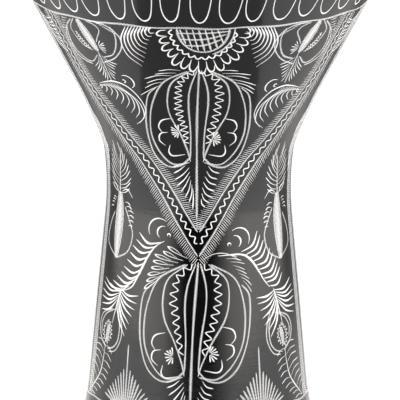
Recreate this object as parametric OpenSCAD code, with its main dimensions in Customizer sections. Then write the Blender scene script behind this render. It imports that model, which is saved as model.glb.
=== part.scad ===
// Goblet drum: a spun aluminium bowl and stem, lap jointed at the neck, with a film head
// that a cast tuning ring pulls down over the bearing edge.
// Millimetres. +Z up, origin at the centre of the foot, on the floor.

/* [Stem] */
// Outer radius at the narrowest place
waist_r = 61; // [58:0.5:66]
// Height of the narrowest place above the floor
waist_z = 211; // [205:1:216]
// Lean of the stem's straight part away from vertical, in degrees
stem_flare = 5.4; // [4.5:0.1:6.5]
// Height where the straight part turns into the foot's flare
flare_z = 84; // [76:1:95]
// Radius of the foot's flare
flare_bend = 250; // [220:5:300]
// Radius of the rolled bead round the foot
bead_r = 4.5; // [4:0.1:5.5]

/* [Bowl] */
// Lean of the bowl's cone away from vertical, in degrees
bowl_slope = 27.7; // [26.5:0.1:28.5]
// Outer radius of the upright collar above the cone
collar_r = 139; // [138:0.5:139.5]
// Thickness of the spun sheet
wall = 2.5; // [2:0.1:3]

/* [Head] */
// Radius of the bearing edge, at the top of its curve
edge_r = 109; // [108.5:0.1:109.2]
// Height of the bearing edge above the floor
edge_z = 436; // [434:1:438]
// Thickness of the film
film_t = 0.25; // [0.2:0.05:0.35]

/* [Tuning] */
// Outer radius of the tuning ring
ring_r = 140; // [139.5:0.5:143]
// Number of tuning bolts
bolt_count = 8; // [8]
// Radius of the circle that the bolts stand on
bolt_circle_r = 126; // [126:0.1:126.3]
// Radius of a bolt's thread
thread_r = 3; // [2.8:0.1:3]

/* [Hidden] */
$fn = 96;
sliver = 0.05;          // running or brazing gap between turned faces
through = 1;            // extra length of a cutting tool past the face it leaves

// Turned outline, as tangent arcs
waist_bend = 198;
waist_top_lean = 7.4;
neck_bend = 32;
neck_lean = 20.4;
cone_bend = 324;
shoulder_bend = 16;
arc_steps = 8;

// Bead round the foot, cut flat where it meets the floor
bead_rise = bead_r - 0.3;

// Lap joint at the neck
lap_h = 14;
lap_r = waist_r - 1.5;
lap_t = 1.5;

// Bowl's deck and bearing edge
deck_z = edge_z - 26;
deck_t = 4;
deck_round = 2;
edge_t = 3;
edge_round = edge_t / 2;

// Head: the film turns down over the edge and into a slot in its hoop
hoop_z = edge_z - 17;
hoop_h = 8;
hoop_top = hoop_z + hoop_h;
hoop_in = edge_r + 2.4;
hoop_out = edge_r + 7.4;
slot_r = edge_r + 4.6;
slot_w = 0.8;
slot_depth = 6;
skirt_r = edge_r + edge_round + sliver;

// Tuning ring: an upside-down channel with a boss for each bolt
ring_top = edge_z + 4;
ring_foot = deck_z + 2;
ring_round = 9;
lip_r = edge_r + 2.6;
lip_round = 4;
lip_flare = 2.6;
press_z = hoop_top + sliver;
pilot_r = hoop_out + 0.6;
pilot_t = 3.5;
pilot_foot = press_z - 11;
channel_out = ring_r - 5.5;
web_z = ring_top - 7;
boss_r = bolt_circle_r - pilot_r - 0.2;
boss_foot = deck_z + 4;

// Fasteners
washer_r = thread_r * 2;
washer_t = 1.6;
seat_z = ring_top - 8.5;
head_r = 5;
head_h = 6;
head_chamfer = 0.6;
head_z = seat_z + washer_t;
shank_h = 41;
shank_chamfer = 0.8;
key_flats = 5;
key_depth = 3.2;
ring_hole_r = thread_r + 0.3;
deck_hole_r = thread_r + 0.4;
washer_hole_r = thread_r + 0.2;
recess_r = washer_r + 0.6;

// Lug under the deck, held by two rivets
lug_r = 6.5;
lug_h = 18;
lug_flange_t = 3;
lug_flange_r = 5;
lug_top = deck_z - deck_t;
rivet_reach = 9.5;
rivet_r = 1.6;
rivet_head_r = 3;
rivet_head_h = 1.2;
rivet_tail_r = 2.6;

black = [0.07, 0.07, 0.075];
bare = [0.76, 0.76, 0.78];
cast = [0.62, 0.62, 0.64];
steel = [0.70, 0.71, 0.73];
film_white = [0.92, 0.92, 0.90];

bolts = [for (i = [1 : bolt_count]) str("tuning_bolt_", i)];
washers = [for (i = [1 : bolt_count]) str("bolt_washer_", i)];
lugs = [for (i = [1 : bolt_count]) str("lug_", i)];

// ---- Outline ----
// A point on the outline is [radius, travel, lean]: travel is the height above or the depth
// below the waist, and lean is the angle of the wall away from vertical.

function last(points) = points[len(points) - 1];

// Points along an arc that starts at p and ends at the lean given
function bend(p, radius, lean, steps = arc_steps) =
    let (side = lean > p[2] ? 1 : -1)
    [for (k = [1 : steps])
        let (a = p[2] + (lean - p[2]) * k / steps)
        [p[0] + side * radius * (cos(p[2]) - cos(a)),
         p[1] + side * radius * (sin(a) - sin(p[2])),
         a]];

// The point reached by a straight wall from p that goes as far as the travel given
function rise_to(p, travel) = [p[0] + (travel - p[1]) * tan(p[2]), travel, p[2]];

// The point reached by a straight wall from p that goes as far as the radius given
function widen_to(p, radius) = [radius, p[1] + (radius - p[0]) / tan(p[2]), p[2]];

waist_point = [waist_r, 0, 0];

// Up from the waist: the neck, the cone, the shoulder
neck_low = bend(waist_point, waist_bend, waist_top_lean);
neck_mid = bend(last(neck_low), neck_bend, neck_lean);
neck_high = bend(last(neck_mid), cone_bend, bowl_slope);
shoulder_start = widen_to(last(neck_high), collar_r - shoulder_bend * (1 - cos(bowl_slope)));
shoulder = bend(shoulder_start, shoulder_bend, 0);
seam_z = waist_z + last(neck_low)[1];

// Down from the waist: the straight stem and the foot's flare
stem_top = bend(waist_point, waist_bend, stem_flare);
stem_end = rise_to(last(stem_top), waist_z - flare_z);
foot_lean = asin(sin(stem_flare) + (flare_z - bead_rise) / flare_bend);
flare = bend(stem_end, flare_bend, foot_lean);
foot_r = last(flare)[0];

function above(points) = [for (p = points) [p[0], waist_z + p[1], p[2]]];
function below(points) = [for (p = points) [p[0], waist_z - p[1], -p[2]]];
function reversed(points) = [for (i = [len(points) - 1 : -1 : 0]) points[i]];
function outside(points) = [for (p = points) [p[0], p[1]]];
function inside(points) = [for (p = points) [p[0] - wall * cos(p[2]), p[1] + wall * sin(p[2])]];

stem_outline = concat(reversed(below(concat(stem_top, [stem_end], flare))),
                      above(concat([waist_point], neck_low)));
bowl_outline = above(concat([last(neck_low)], neck_mid, neck_high, [shoulder_start], shoulder));

// Points round a circle in the [radius, height] plane
function round_corner(centre, radius, from, to, steps = arc_steps) =
    [for (k = [0 : steps])
        let (a = from + (to - from) * k / steps)
        centre + radius * [cos(a), sin(a)]];

// ---- Body ----

module around_bolts() {
    for (i = [0 : bolt_count - 1]) {
        rotate(i * 360 / bolt_count) translate([bolt_circle_r, 0, 0]) children();
    }
}

// Copies of a child at a lug's two rivets
module at_rivets() {
    for (side = [-1, 1]) {
        translate([0, side * rivet_reach, 0]) children();
    }
}

module neck_lap_bore() {
    translate([0, 0, seam_z - lap_h]) cylinder(r = lap_r, h = lap_h + through);
}

module stem() {
    color(black) difference() {
        union() {
            rotate_extrude() {
                polygon(concat(outside(stem_outline), reversed(inside(stem_outline))));
            }
            rotate_extrude() {
                translate([foot_r - bead_r / 2, bead_rise]) circle(r = bead_r);
            }
        }
        neck_lap_bore();
        translate([0, 0, seam_z]) cylinder(r = collar_r, h = lap_h);
        translate([0, 0, -bead_r]) cylinder(r = collar_r, h = bead_r);
    }
}

module bowl_wall() {
    rotate_extrude() {
        polygon(concat(
            outside(bowl_outline),
            round_corner([collar_r - deck_round, deck_z - deck_round], deck_round, 0, 90),
            [[edge_r + edge_round, deck_z]],
            round_corner([edge_r, edge_z - edge_round], edge_round, 0, 180),
            [[edge_r - edge_round, lug_top], [collar_r - wall, lug_top]],
            reversed(inside(bowl_outline))));
    }
}

module neck_spigot() {
    translate([0, 0, seam_z - lap_h]) cylinder(r = lap_r - sliver, h = lap_h);
    translate([0, 0, seam_z]) cylinder(r = lap_r + wall - lap_t, h = lap_t * 2);
}

module bowl() {
    color(black) difference() {
        union() {
            bowl_wall();
            neck_spigot();
        }
        translate([0, 0, seam_z - lap_h - through]) {
            cylinder(r = lap_r - lap_t, h = lap_h + lap_t * 2 + through * 2);
        }
        around_bolts() {
            translate([0, 0, lug_top - through]) {
                cylinder(r = deck_hole_r, h = deck_t + through * 2);
                at_rivets() cylinder(r = rivet_r + sliver, h = deck_t + through * 2);
            }
        }
    }
}

// ---- Head ----

// The film's outer face: flat, over the bearing edge, down the skirt and into the slot
module head_film() {
    turn = edge_round + sliver;
    slot_foot = hoop_top - slot_depth + sliver;
    knee_z = hoop_top + (slot_r - skirt_r);
    color(film_white) rotate_extrude() {
        polygon(concat(
            [[0, edge_z + sliver], [0, edge_z + sliver + film_t]],
            reversed(round_corner([edge_r, edge_z - edge_round], turn + film_t, 0, 90)),
            [[skirt_r + film_t, knee_z + film_t / 2],
             [slot_r + film_t, hoop_top + film_t / 2],
             [slot_r + film_t, slot_foot],
             [slot_r, slot_foot],
             [slot_r, hoop_top],
             [skirt_r, knee_z]],
            round_corner([edge_r, edge_z - edge_round], turn, 0, 90)));
    }
}

module head_hoop() {
    bevel = 0.6;
    color(bare) rotate_extrude() difference() {
        polygon([[hoop_in, hoop_z + bevel], [hoop_in + bevel, hoop_z],
                 [hoop_out - bevel, hoop_z], [hoop_out, hoop_z + bevel],
                 [hoop_out, hoop_top], [hoop_in, hoop_top]]);
        translate([slot_r + film_t / 2 - slot_w / 2, hoop_top - slot_depth]) {
            square([slot_w, slot_depth + through]);
        }
    }
}

// ---- Tuning ----

module ring_channel() {
    rotate_extrude() {
        polygon(concat(
            [[channel_out, ring_foot], [ring_r, ring_foot]],
            round_corner([ring_r - ring_round, ring_top - ring_round], ring_round, 0, 90),
            round_corner([lip_r + lip_round, ring_top - lip_round], lip_round, 90, 180),
            [[lip_r, press_z + lip_flare * 2],
             [lip_r + lip_flare, press_z + lip_flare],
             [lip_r + lip_flare, press_z],
             [pilot_r, press_z],
             [pilot_r, pilot_foot],
             [pilot_r + pilot_t, pilot_foot],
             [pilot_r + pilot_t, web_z],
             [channel_out, web_z]]));
    }
}

module tuning_ring() {
    color(black) difference() {
        union() {
            ring_channel();
            around_bolts() {
                translate([0, 0, boss_foot]) cylinder(r = boss_r, h = web_z - boss_foot + through);
            }
        }
        around_bolts() {
            translate([0, 0, ring_foot]) cylinder(r = ring_hole_r, h = ring_top - ring_foot);
            translate([0, 0, seat_z]) cylinder(r = recess_r, h = ring_top - seat_z + through);
        }
    }
}

module bolt_washer(i) {
    color(steel) rotate((i - 1) * 360 / bolt_count) translate([bolt_circle_r, 0, seat_z]) {
        difference() {
            cylinder(r = washer_r, h = washer_t);
            translate([0, 0, -through]) cylinder(r = washer_hole_r, h = washer_t + through * 2);
        }
    }
}

module tuning_bolt(i) {
    color(steel) rotate((i - 1) * 360 / bolt_count) translate([bolt_circle_r, 0, head_z]) {
        difference() {
            rotate_extrude() {
                polygon([[0, -shank_h], [thread_r - shank_chamfer, -shank_h],
                         [thread_r, shank_chamfer - shank_h], [thread_r, 0], [head_r, 0],
                         [head_r, head_h - head_chamfer], [head_r - head_chamfer, head_h],
                         [0, head_h]]);
            }
            translate([0, 0, head_h - key_depth]) {
                cylinder(r = key_flats / sqrt(3), h = key_depth + through, $fn = 6);
            }
        }
    }
}

// ---- Lugs ----

module lug(i) {
    color(cast) rotate((i - 1) * 360 / bolt_count) translate([bolt_circle_r, 0, lug_top]) {
        difference() {
            union() {
                translate([0, 0, -lug_h]) cylinder(r = lug_r, h = lug_h);
                translate([-lug_flange_r, -rivet_reach, -lug_flange_t]) {
                    cube([lug_flange_r * 2, rivet_reach * 2, lug_flange_t]);
                }
                at_rivets() {
                    translate([0, 0, -lug_flange_t]) cylinder(r = lug_flange_r, h = lug_flange_t);
                }
            }
            translate([0, 0, -lug_h - through]) {
                cylinder(r = thread_r + sliver, h = lug_h + through * 2);
            }
            at_rivets() {
                translate([0, 0, -lug_flange_t - through]) {
                    cylinder(r = rivet_r + sliver, h = lug_flange_t + through * 2);
                }
            }
        }
    }
}

module rivet() {
    grip = deck_t + lug_flange_t;
    translate([0, 0, -grip]) cylinder(r = rivet_r, h = grip);
    cylinder(r1 = rivet_head_r, r2 = rivet_head_r * 0.7, h = rivet_head_h);
    translate([0, 0, -grip - rivet_head_h]) {
        cylinder(r1 = rivet_tail_r * 0.7, r2 = rivet_tail_r, h = rivet_head_h);
    }
}

module lug_rivets() {
    color(bare) around_bolts() {
        at_rivets() translate([0, 0, deck_z]) rivet();
    }
}

bowl();
stem();
head_film();
head_hoop();
tuning_ring();
lug_rivets();
for (i = [1 : bolt_count]) {
    lug(i);
    bolt_washer(i);
    tuning_bolt(i);
}
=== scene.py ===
import math
import random

import bmesh
import bpy
import numpy as np
from mathutils import Matrix, Vector


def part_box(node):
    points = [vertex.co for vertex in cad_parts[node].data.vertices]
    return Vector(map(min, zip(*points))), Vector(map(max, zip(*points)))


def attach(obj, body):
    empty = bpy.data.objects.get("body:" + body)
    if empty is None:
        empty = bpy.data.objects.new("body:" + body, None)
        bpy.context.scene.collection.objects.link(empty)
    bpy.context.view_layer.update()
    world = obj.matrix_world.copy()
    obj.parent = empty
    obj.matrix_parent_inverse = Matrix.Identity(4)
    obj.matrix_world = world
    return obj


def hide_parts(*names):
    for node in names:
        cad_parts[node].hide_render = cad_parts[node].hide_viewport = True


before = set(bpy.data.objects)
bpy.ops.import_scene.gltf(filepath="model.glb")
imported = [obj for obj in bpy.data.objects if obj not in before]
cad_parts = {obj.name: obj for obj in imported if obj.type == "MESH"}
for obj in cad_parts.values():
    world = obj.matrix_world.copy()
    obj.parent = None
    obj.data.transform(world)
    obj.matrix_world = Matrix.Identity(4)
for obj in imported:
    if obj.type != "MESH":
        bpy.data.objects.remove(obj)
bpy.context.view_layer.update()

# ---- Driving sizes: millimetres and degrees for drawing, turned into metres when a mesh is made ----

MM = 0.001
WAIST_R, WAIST_Z = 61.0, 211.0
STEM_LEAN, FLARE_Z, FLARE_BEND = 5.4, 84.0, 250.0
WAIST_BEND, WAIST_TOP_LEAN = 198.0, 7.4
NECK_BEND, NECK_LEAN = 32.0, 20.4
CONE_BEND, CONE_LEAN = 324.0, 27.7
COLLAR_R, SHOULDER_BEND = 139.0, 16.0
WALL = 2.5
BEAD_R = 4.5
BEAD_Z = BEAD_R - 0.3

RIM_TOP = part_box("tuning_ring")[1][2] / MM
RIM_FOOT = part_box("tuning_ring")[0][2] / MM
RIM_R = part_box("tuning_ring")[1][1] / MM
EDGE_Z = RIM_TOP - 4
EDGE_R = 109.0
DECK_Z, DECK_T = EDGE_Z - 26, 4.0
HOOP_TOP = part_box("head_hoop")[1][2] / MM
HOOP_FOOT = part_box("head_hoop")[0][2] / MM
BOLTS = 8
BOLT_CIRCLE = 126.0
BOLT_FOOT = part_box("tuning_bolt_1")[0][2] / MM
BOLT_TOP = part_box("tuning_bolt_1")[1][2] / MM
BOLT_HEAD_H = 6.0
SEAT_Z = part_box("bolt_washer_1")[0][2] / MM
WASHER_T = 1.6
LUG_TOP = DECK_Z - DECK_T
FLANGE_T, EAR_OUT = 3.0, 9.5
ROUND_STEPS, SMALL_STEPS = 256, 48


# ---- The drum's outer wall ----

def bend(point, radius, lean):
    """Points, a millimetre apart, along a wall that curves from point to a new lean from upright."""
    side = 1 if lean > point[2] else -1
    count = max(3, round(radius * math.radians(abs(lean - point[2]))))
    leans = np.linspace(point[2], lean, count + 1)[1:]
    start, turned_to = math.radians(point[2]), np.radians(leans)
    across = point[0] + side * radius * (math.cos(start) - np.cos(turned_to))
    along = point[1] + side * radius * (np.sin(turned_to) - math.sin(start))
    return list(zip(across, along, leans))


def straight(point, travel, step=6.0):
    """Points along a straight wall from point to the travel given."""
    count = max(1, round(abs(travel - point[1]) / step))
    stops = np.linspace(point[1], travel, count + 1)[1:]
    return [(point[0] + (t - point[1]) * math.tan(math.radians(point[2])), t, point[2]) for t in stops]


def outer_wall():
    """Radius, height and lean of the outer wall from the foot up, and the index of the neck seam."""
    waist = (WAIST_R, 0.0, 0.0)
    down = bend(waist, WAIST_BEND, STEM_LEAN)
    down += straight(down[-1], WAIST_Z - FLARE_Z)
    foot_sine = math.sin(math.radians(STEM_LEAN)) + (FLARE_Z - BEAD_Z) / FLARE_BEND
    down += bend(down[-1], FLARE_BEND, math.degrees(math.asin(foot_sine)))
    up = bend(waist, WAIST_BEND, WAIST_TOP_LEAN)
    seam = len(down) + len(up)
    up += bend(up[-1], NECK_BEND, NECK_LEAN)
    up += bend(up[-1], CONE_BEND, CONE_LEAN)
    slope = math.radians(CONE_LEAN)
    shoulder_r = COLLAR_R - SHOULDER_BEND * (1 - math.cos(slope))
    up += straight(up[-1], up[-1][1] + (shoulder_r - up[-1][0]) / math.tan(slope))
    up += bend(up[-1], SHOULDER_BEND, 0.0)
    rows = [(r, WAIST_Z - t, -lean) for r, t, lean in reversed(down)] + [(WAIST_R, WAIST_Z, 0.0)]
    rows += [(r, WAIST_Z + t, lean) for r, t, lean in up]
    return np.array(rows), seam


WALL_ROWS, SEAM = outer_wall()
WALL_R, WALL_Z, WALL_LEAN = WALL_ROWS.T
STEPS = np.hypot(np.diff(WALL_R), np.diff(WALL_Z))
WALL_RUN = np.concatenate([[0], np.cumsum(STEPS)])
WALL_RUN -= np.interp(WAIST_Z, WALL_Z, WALL_RUN)
FOOT_R = WALL_R[0]


def inner(rows):
    """The wall's inner face, one sheet thickness inside its outer face."""
    lean = np.radians(rows[:, 2])
    return np.column_stack([rows[:, 0] - WALL * np.cos(lean), rows[:, 1] + WALL * np.sin(lean)])


def corner(centre, radius, start, end, steps=8):
    """Points round a corner, as radius and height."""
    angles = np.radians(np.linspace(start, end, steps + 1))
    return [(centre[0] + radius * math.cos(a), centre[1] + radius * math.sin(a)) for a in angles]


# ---- Pieces ----

def new_object(name, bm, finishes=()):
    """An object made from a bmesh, which is freed."""
    mesh = bpy.data.meshes.new(name)
    bm.to_mesh(mesh)
    bm.free()
    for finish in finishes:
        mesh.materials.append(finish)
    thing = bpy.data.objects.new(name, mesh)
    bpy.context.collection.objects.link(thing)
    return thing


def finished(name, bm, finishes, body, sharp=32, smooth=True):
    """A piece made from a bmesh in millimetres, with its place in its mesh, riding on a body."""
    bmesh.ops.scale(bm, vec=(MM, MM, MM), verts=bm.verts)
    piece = new_object(name, bm, finishes)
    if smooth:
        piece.data.shade_smooth()
        piece.data.set_sharp_from_angle(angle=math.radians(sharp))
    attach(piece, body)
    return piece


def turned(outline, closed=True, steps=ROUND_STEPS):
    """A bmesh turned on the drum's axis from an outline of radius and height."""
    bm = bmesh.new()
    verts = [bm.verts.new((r, 0, z)) for r, z in outline]
    pairs = list(zip(verts, verts[1:]))
    if closed:
        pairs.append((verts[-1], verts[0]))
    edges = [bm.edges.new(pair) for pair in pairs]
    bmesh.ops.spin(bm, geom=verts + edges, cent=(0, 0, 0), axis=(0, 0, 1), angle=math.tau,
                   steps=steps, use_merge=True, use_duplicate=False)
    bmesh.ops.remove_doubles(bm, verts=bm.verts, dist=0.0005)
    bmesh.ops.recalc_face_normals(bm, faces=bm.faces)
    return bm


def placed(bm, number, offset=(0, 0, 0)):
    """Moves a bmesh from the axis out to a bolt's place on the bolt circle."""
    bmesh.ops.translate(bm, vec=(BOLT_CIRCLE + offset[0], offset[1], offset[2]), verts=bm.verts)
    turn = Matrix.Rotation(math.tau * number / BOLTS, 3, "Z")
    bmesh.ops.rotate(bm, cent=(0, 0, 0), matrix=turn, verts=bm.verts)
    return bm


def add(bm, other):
    """Adds a copy of another bmesh, and frees it."""
    mesh = bpy.data.meshes.new("part")
    other.to_mesh(mesh)
    other.free()
    bm.from_mesh(mesh)
    bpy.data.meshes.remove(mesh)


def carve(piece, cutter_bm):
    """Cuts holes in a piece, and applies the cut."""
    bmesh.ops.scale(cutter_bm, vec=(MM, MM, MM), verts=cutter_bm.verts)
    cutter = new_object("cutter", cutter_bm)
    cut = piece.modifiers.new("holes", "BOOLEAN")
    cut.object = cutter
    cut.operation = "DIFFERENCE"
    cut.solver = "EXACT"
    graph = bpy.context.evaluated_depsgraph_get()
    result = bpy.data.meshes.new_from_object(piece.evaluated_get(graph))
    piece.modifiers.clear()
    piece.data = result
    bpy.data.objects.remove(cutter)


# ---- Finishes ----

class Value:
    """A number that varies over a surface. Arithmetic on it adds Math nodes."""

    def __init__(self, finish, socket):
        self.finish = finish
        self.socket = socket

    def math(self, operation, first, second):
        """Adds one Math node."""
        return self.finish.node("Math", {"operation": operation}, {0: first, 1: second})

    def __add__(self, other):
        return self.math("ADD", self, other)

    def __radd__(self, other):
        return self.math("ADD", other, self)

    def __mul__(self, other):
        return self.math("MULTIPLY", self, other)

    def __rmul__(self, other):
        return self.math("MULTIPLY", other, self)


class Finish:
    """A material round one Principled shader."""

    def __init__(self, name, **constants):
        self.material = bpy.data.materials.new(name)
        self.material.use_nodes = True
        self.tree = self.material.node_tree
        self.shader = self.tree.nodes["Principled BSDF"]
        for socket, value in constants.items():
            self.shader.inputs[socket.replace("_", " ")].default_value = value
        self.place = self.node("TexCoord", out="Object")

    def node(self, kind, settings=None, sockets=None, out=0):
        """Adds a node: first its settings, then what its sockets hold or are fed."""
        made = self.tree.nodes.new("ShaderNode" + kind)
        for key, value in (settings or {}).items():
            if key == "stops":
                ramp = made.color_ramp
                while len(ramp.elements) < len(value):
                    ramp.elements.new(0.5)
                for element, (position, level) in zip(ramp.elements, value):
                    element.position = position
                    element.color = (level, level, level, 1)
            else:
                setattr(made, key, value)
        for key, value in (sockets or {}).items():
            self.feed(made.inputs[key], value)
        return Value(self, made.outputs[out])

    def feed(self, socket, value):
        """Links a varying value to a socket, or sets a constant on it."""
        if isinstance(value, Value):
            self.tree.links.new(value.socket, socket)
        else:
            socket.default_value = value

    def noise(self, scale, detail=3.0, rough=0.55, stretch=None):
        """A noise pattern in the piece's own metres, stretched where a finish has a direction."""
        place = self.place
        if stretch:
            place = self.node("Mapping", {}, {"Vector": place, "Scale": stretch})
        sockets = {"Vector": place, "Scale": scale, "Detail": detail, "Roughness": rough}
        return self.node("TexNoise", {}, sockets)

    def ramp(self, value, *stops):
        """Maps a value to greys, by stops of position and level."""
        return self.node("ValToRGB", {"stops": stops}, {"Fac": value})

    def blend(self, factor, first, second):
        """A colour between two others."""
        return self.node("Mix", {"data_type": "RGBA"}, {0: factor, 6: first, 7: second}, out=2)

    def bump(self, height, strength, distance):
        """A normal tilted by a height."""
        sockets = {"Height": height, "Strength": strength, "Distance": distance}
        return self.node("Bump", {}, sockets)

    def wear(self, **links):
        """Feeds the shader what varies over the surface, and hands back the material."""
        for socket, value in links.items():
            self.feed(self.shader.inputs[socket.replace("_", " ")], value)
        return self.material


def black_lacquer():
    """Gloss black over spun metal: faint spinning marks, a slow waviness and handling haze."""
    finish = Finish("black_lacquer", IOR=1.5)
    patches = finish.noise(9.0, 4.0)
    haze = finish.ramp(finish.noise(55.0, 6.0, 0.65), (0.35, 0.0), (0.75, 1.0))
    spun = finish.noise(60.0, 2.0, 0.5, (0.15, 0.15, 14.0))
    slow = finish.noise(14.0, 2.0, 0.4)
    dents = finish.noise(190.0, 2.0, 0.5)
    peel = finish.noise(900.0, 2.0, 0.5)
    height = 0.8 * slow + 0.06 * dents + 0.02 * spun + 0.005 * peel
    black, worn = (0.0012, 0.0012, 0.0013, 1), (0.0042, 0.0038, 0.0036, 1)
    return finish.wear(
        Base_Color=finish.blend(patches * 0.7 + haze * 0.3, black, worn),
        Roughness=0.06 + haze * 0.06 + patches * 0.05,
        Normal=finish.bump(height, 0.35, 0.0016))


def bright_cut():
    """Bare aluminium left by a rocked graver: bright, with fine facets across each cut."""
    finish = Finish("bright_cut_aluminium", Metallic=0.35, IOR=1.5)
    facets = finish.noise(1600.0, 2.0, 0.6)
    tone = finish.noise(40.0, 3.0)
    return finish.wear(
        Base_Color=finish.blend(tone * 0.6 + facets * 0.4, (0.93, 0.925, 0.92, 1), (0.70, 0.69, 0.69, 1)),
        Roughness=0.34 + facets * 0.25,
        Normal=finish.bump(facets, 0.5, 0.0002))


def spun_aluminium():
    """The bare inner face: turned rings, dulled and slightly stained."""
    finish = Finish("spun_aluminium", Metallic=1.0)
    rings = finish.noise(70.0, 3.0, 0.6, (0.1, 0.1, 20.0))
    stain = finish.noise(18.0, 5.0, 0.6)
    return finish.wear(
        Base_Color=finish.blend(stain, (0.66, 0.66, 0.67, 1), (0.44, 0.435, 0.43, 1)),
        Roughness=0.32 + stain * 0.2 + rings * 0.08,
        Normal=finish.bump(rings, 0.35, 0.0006))


def rolled_aluminium():
    """Drawn hoop section and rivets, satin with fine scratches."""
    finish = Finish("rolled_aluminium", Metallic=1.0)
    scratches = finish.noise(420.0, 3.0, 0.7, (1.0, 1.0, 6.0))
    return finish.wear(
        Base_Color=finish.blend(scratches, (0.78, 0.78, 0.79, 1), (0.60, 0.60, 0.61, 1)),
        Roughness=0.24 + scratches * 0.2,
        Normal=finish.bump(scratches, 0.2, 0.0002))


def cast_aluminium():
    """Lugs as they leave the sand: dull, pitted, with a grey skin."""
    finish = Finish("cast_aluminium", Metallic=1.0)
    grain = finish.noise(700.0, 5.0, 0.65)
    skin = finish.noise(90.0, 3.0)
    return finish.wear(
        Base_Color=finish.blend(skin, (0.56, 0.56, 0.57, 1), (0.40, 0.40, 0.41, 1)),
        Roughness=0.46 + grain * 0.22,
        Normal=finish.bump(grain, 0.6, 0.0005))


def plated_steel():
    """Bright plated screws and washers, with handling marks."""
    finish = Finish("plated_steel", Metallic=1.0)
    marks = finish.noise(300.0, 4.0, 0.7)
    return finish.wear(
        Base_Color=finish.blend(marks, (0.80, 0.81, 0.83, 1), (0.66, 0.67, 0.69, 1)),
        Roughness=0.12 + marks * 0.16,
        Normal=finish.bump(marks, 0.12, 0.0002))


def coated_film():
    """White coated head film: a fine sprayed tooth and a darker worn patch where hands strike."""
    finish = Finish("coated_film", IOR=1.45)
    tooth = finish.noise(1400.0, 3.0, 0.6)
    cloud = finish.noise(22.0, 5.0, 0.6)
    return finish.wear(
        Base_Color=finish.blend(cloud * 0.8 + tooth * 0.2, (0.83, 0.82, 0.79, 1), (0.72, 0.71, 0.68, 1)),
        Roughness=0.38 + cloud * 0.12 + tooth * 0.1,
        Normal=finish.bump(tooth, 0.25, 0.0002))


LACQUER = black_lacquer()
BRIGHT = bright_cut()
BARE_INSIDE = spun_aluminium()
ROLLED = rolled_aluminium()
CAST = cast_aluminium()
PLATED = plated_steel()
FILM = coated_film()


# ---- Shell ----

def face_inside(bm, test):
    """Gives the faces that a test picks the second finish."""
    for face in bm.faces:
        if test(face.calc_center_median(), face.normal):
            face.material_index = 1


def towards_axis(centre, normal):
    """Whether a face looks in at the drum's axis."""
    return centre.x * normal.x + centre.y * normal.y < -0.05 * math.hypot(centre.x, centre.y)


def stem_shell():
    """The flared stem, with its rolled foot bead flattened where it stands."""
    rows = WALL_ROWS[:SEAM + 1]
    bead = corner((FOOT_R - BEAD_R / 2, BEAD_Z), BEAD_R, 60, -69, 14)
    bead += corner((FOOT_R - BEAD_R / 2, BEAD_Z), BEAD_R, -111, -245, 14)
    inside = [tuple(p) for p in inner(rows)][3:]
    outside = [(r, z) for r, z, _ in rows][3:]
    outline = outside[::-1] + bead + inside
    bm = turned(outline)
    face_inside(bm, lambda c, n: towards_axis(c, n) and c.z > BEAD_Z + 3)
    piece = finished("stem_shell", bm, [LACQUER, BARE_INSIDE], "drum_shell")
    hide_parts("stem")


def bowl_shell():
    """The cone, shoulder, deck with its bolt holes, and collar with the bearing edge."""
    rows = WALL_ROWS[SEAM:]
    outline = [(r, z) for r, z, _ in rows]
    outline += corner((COLLAR_R - 2, DECK_Z - 2), 2, 0, 90, 6)
    outline += [(EDGE_R + 1.5, DECK_Z)]
    outline += corner((EDGE_R, EDGE_Z - 1.5), 1.5, 0, 180, 10)
    outline += [(EDGE_R - 1.5, LUG_TOP), (COLLAR_R - WALL, LUG_TOP)]
    outline += [tuple(p) for p in inner(rows)][::-1]
    bm = turned(outline)
    face_inside(bm, lambda c, n: towards_axis(c, n) or (n.z < -0.5 and c.z > LUG_TOP - 1))
    piece = finished("bowl_shell", bm, [LACQUER, BARE_INSIDE], "drum_shell")
    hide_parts("bowl")
    holes, hole_r = bmesh.new(), 3.4
    for number in range(BOLTS):
        hole = [(0, LUG_TOP - 1), (hole_r, LUG_TOP - 1), (hole_r, DECK_Z + 1), (0, DECK_Z + 1)]
        add(holes, placed(turned(hole, closed=False, steps=32), number))
    carve(piece, holes)


# ---- Engraving ----
# Cuts are drawn flat in millimetres, as complex numbers: across the wall, plus 1j times up the wall.
ROCKED_STEP, ROCKED_HALF = 0.5, 0.26
STROKE_STEP = 0.9
FILL_STEP, FILL_HALF = 1.5, 0.24
# A cut's ridge and its sunken edges, as shares of its half width.
RIDGE, EDGE_SUNK = 0.25, -0.15


def curve(*knots, steps=12):
    """A smooth path through a few knots."""
    k = np.array(knots, complex)
    k = np.concatenate([[2 * k[0] - k[1]], k, [2 * k[-1] - k[-2]]])
    t = np.linspace(0, 1, steps, endpoint=False)[:, None]
    a, b, c, d = k[:-3], k[1:-2], k[2:-1], k[3:]
    spans = 0.5 * (2 * b + (c - a) * t + (2 * a - 5 * b + 4 * c - d) * t ** 2
                   + (3 * b - a - 3 * c + d) * t ** 3)
    return np.append(spans.T.ravel(), k[-2])


def arc(centre, radius, start, end, squash=1.0):
    """Part of a circle, or of an ellipse squashed up and down."""
    angles = np.radians(np.linspace(start, end, max(8, round(abs(end - start) / 9))))
    return centre + radius * (np.cos(angles) + 1j * squash * np.sin(angles))


def spaced(path, count):
    """A number of points, evenly spaced along a path from end to end."""
    path = np.asarray(path)
    run = np.concatenate([[0], np.cumsum(np.abs(np.diff(path)))])
    stops = np.linspace(0, run[-1], count)
    return np.interp(stops, run, path.real) + 1j * np.interp(stops, run, path.imag)


def evenly(path, step):
    """The same path with its points an even step apart."""
    return spaced(path, max(5, round(np.sum(np.abs(np.diff(path))) / step) + 1))


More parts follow.
